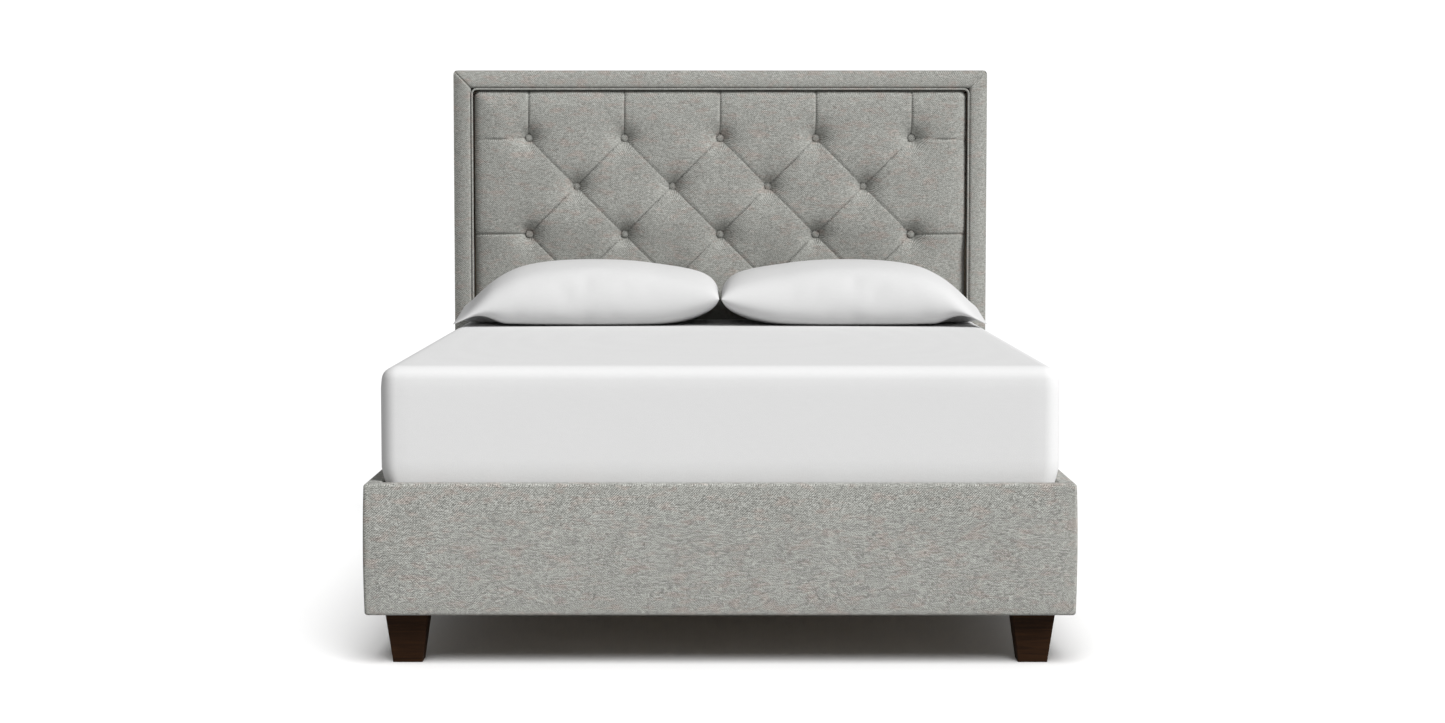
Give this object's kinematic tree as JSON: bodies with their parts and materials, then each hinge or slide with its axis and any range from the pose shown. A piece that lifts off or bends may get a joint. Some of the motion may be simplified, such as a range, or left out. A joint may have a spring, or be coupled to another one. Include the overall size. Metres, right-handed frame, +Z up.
{
  "type": "upholstered headboard bed",
  "caption": "Bed with a button-tufted upholstered headboard in a mitred border, padded rails on tapered block legs, slatted base, mattress and pillows.",
  "frame": {"origin": "on the floor, under the middle of the bed's box", "axes": "+Y from the foot to the headboard, +X to the right seen from the foot, +Z up"},
  "size_m": [1.61, 2.18, 1.431],
  "materials": {
    "upholstery_cloth": "matte heathered grey twill tweed with pinkish and dark flecks, over foam",
    "back_cloth": "thin black dust-cover cloth on a board",
    "bed_linen": "matte white fine cotton",
    "frame_wood": "plain planed softwood and plywood",
    "leg_wood": "espresso stain under satin lacquer",
    "zinc_steel": "zinc-plated pressed steel",
    "foot_plastic": "matte black moulded"
  },
  "bodies": {
    "bed_frame": {"foot_rail_cover": "upholstery_cloth", "left_rail_cover": "upholstery_cloth", "right_rail_cover": "upholstery_cloth", "border_top": "upholstery_cloth", "border_left": "upholstery_cloth", "border_right": "upholstery_cloth", "border_welt": "upholstery_cloth", "tufted_pad": "upholstery_cloth", "tuft_button_1_1": "upholstery_cloth", "tuft_button_1_2": "upholstery_cloth", "tuft_button_1_3": "upholstery_cloth", "tuft_button_1_4": "upholstery_cloth", "tuft_button_1_5": "upholstery_cloth", "tuft_button_2_1": "upholstery_cloth", "tuft_button_2_2": "upholstery_cloth", "tuft_button_2_3": "upholstery_cloth", "tuft_button_2_4": "upholstery_cloth", "tuft_button_3_1": "upholstery_cloth", "tuft_button_3_2": "upholstery_cloth", "tuft_button_3_3": "upholstery_cloth", "tuft_button_3_4": "upholstery_cloth", "tuft_button_3_5": "upholstery_cloth", "tuft_button_4_1": "upholstery_cloth", "tuft_button_4_2": "upholstery_cloth", "tuft_button_4_3": "upholstery_cloth", "tuft_button_4_4": "upholstery_cloth", "headboard_back_panel": "back_cloth", "foot_rail_board": "frame_wood", "left_rail_board": "frame_wood", "right_rail_board": "frame_wood", "left_slat_ledger": "frame_wood", "right_slat_ledger": "frame_wood", "centre_beam": "frame_wood", "centre_leg": "frame_wood", "foot_corner_block_left": "frame_wood", "foot_corner_block_right": "frame_wood", "headboard_left_post": "frame_wood", "headboard_right_post": "frame_wood", "headboard_top_beam": "frame_wood", "headboard_lower_beam": "frame_wood", "tufting_board": "frame_wood", "slat_1": "frame_wood", "slat_2": "frame_wood", "slat_3": "frame_wood", "slat_4": "frame_wood", "slat_5": "frame_wood", "slat_6": "frame_wood", "slat_7": "frame_wood", "slat_8": "frame_wood", "slat_9": "frame_wood", "leg_foot_left": "leg_wood", "leg_foot_right": "leg_wood", "leg_head_left": "leg_wood", "leg_head_right": "leg_wood", "centre_beam_foot_bracket": "zinc_steel", "centre_beam_head_bracket": "zinc_steel"},
    "mattress": {"mattress": "bed_linen"},
    "pillow_left": {"pillow_left": "bed_linen"},
    "pillow_right": {"pillow_right": "bed_linen"},
    "levelling_foot": {"levelling_foot": "foot_plastic"}
  },
  "joints": [
    {"name": "mattress_lift", "type": "slide", "parent": "bed_frame", "child": "mattress", "axis": [0, 0, 1], "range_m": [0, 0.5]},
    {"name": "pillow_left_lift", "type": "slide", "parent": "mattress", "child": "pillow_left", "axis": [0, 0, 1], "range_m": [0, 0.4]},
    {"name": "pillow_right_lift", "type": "slide", "parent": "mattress", "child": "pillow_right", "axis": [0, 0, 1], "range_m": [0, 0.4]},
    {"name": "levelling_foot_screw", "type": "slide", "parent": "bed_frame", "child": "levelling_foot", "axis": [0, 0, 1], "range_m": [-0.01, 0.011]}
  ]
}
